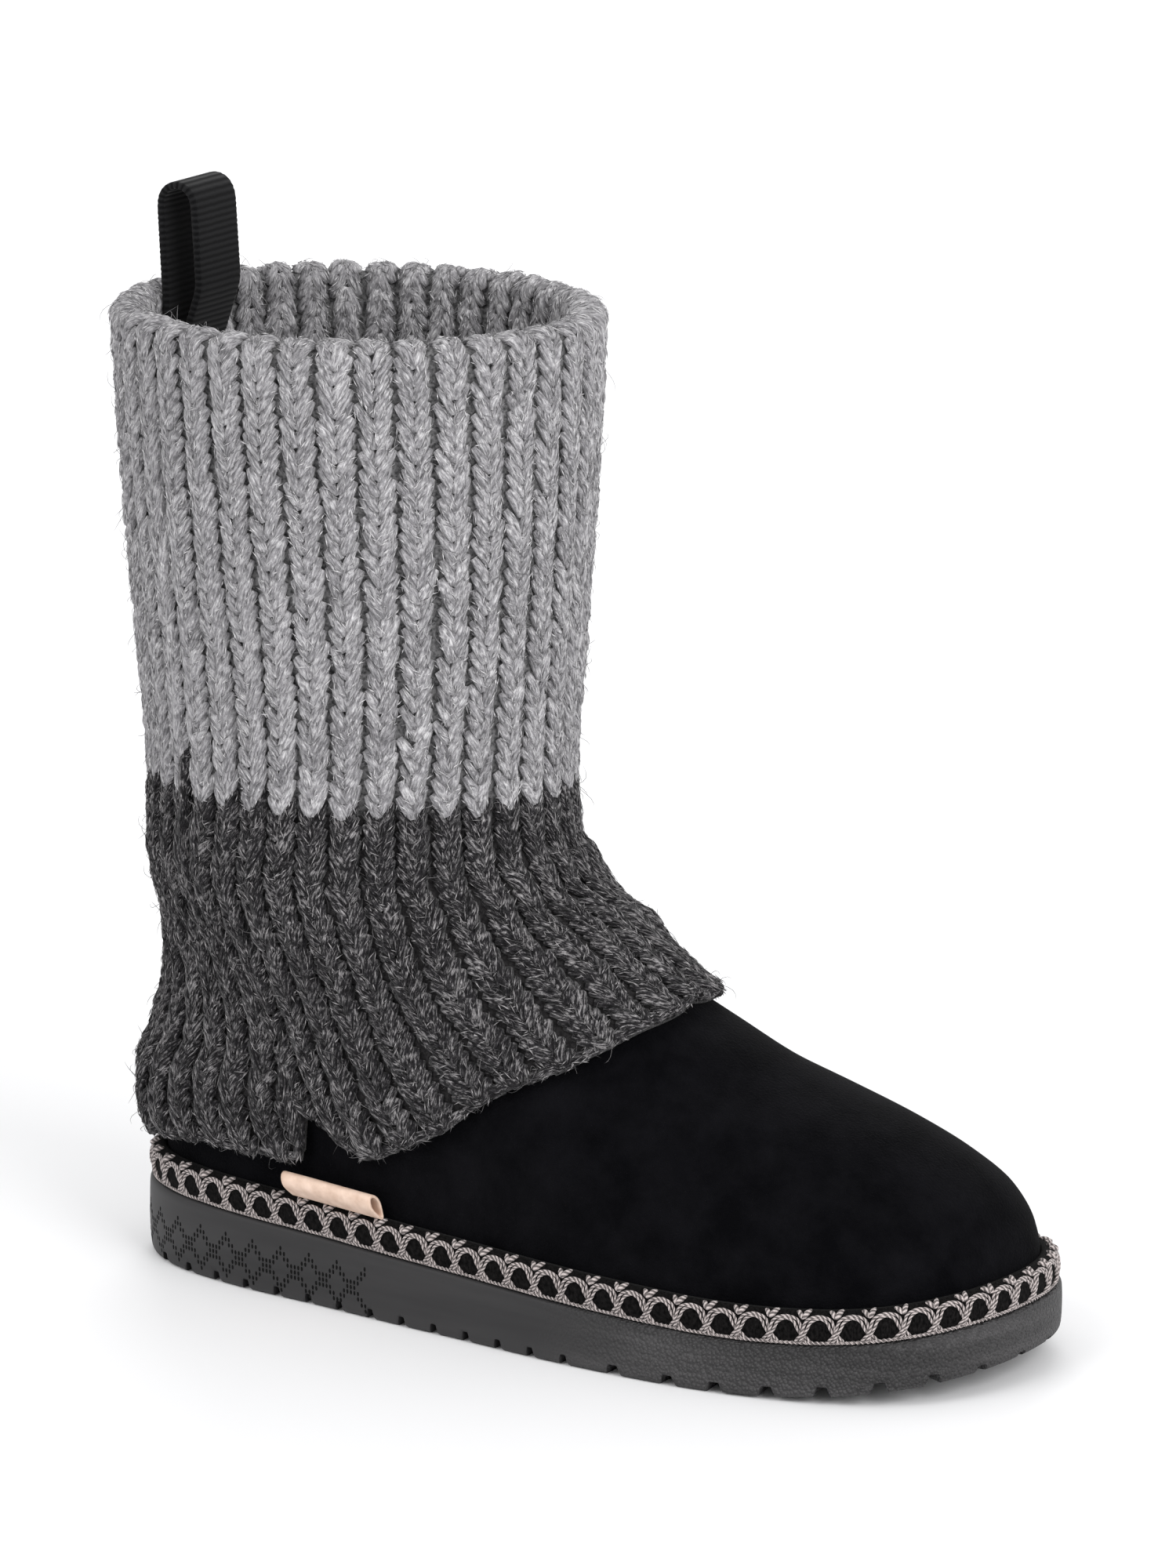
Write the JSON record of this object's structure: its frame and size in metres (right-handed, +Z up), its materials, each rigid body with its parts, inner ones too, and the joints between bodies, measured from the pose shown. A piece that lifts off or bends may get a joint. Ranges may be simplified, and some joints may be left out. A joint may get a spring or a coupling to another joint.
{
  "type": "mukluk boot",
  "caption": "Right-foot mukluk boot: suede slipper boot with a ribbed knit cover over its shaft, a braid welt, a back pull loop and a moulded rubber sole.",
  "frame": {"origin": "on the tread, on the floor, under the middle of the shaft", "axes": "+X runs to the toe, +Y to the inner side of the right foot, +Z up the shaft"},
  "size_m": [0.2845, 0.1274, 0.3099],
  "materials": {
    "sole_rubber": "matte moulded rubber",
    "lining_fleece": "brushed fleece",
    "suede": "black suede with a short nap",
    "braid": "woven tape with corded arches",
    "knit": "thick half-cardigan rib, light grey above charcoal",
    "webbing": "ribbed webbing",
    "tab_leather": "smooth tan leather"
  },
  "bodies": {
    "root": {"outsole": "sole_rubber", "insole": "lining_fleece", "upper": "suede", "braid_trim": "braid", "knit_cover": "knit", "pull_loop": "webbing", "side_tab": "tab_leather"}
  },
  "joints": []
}
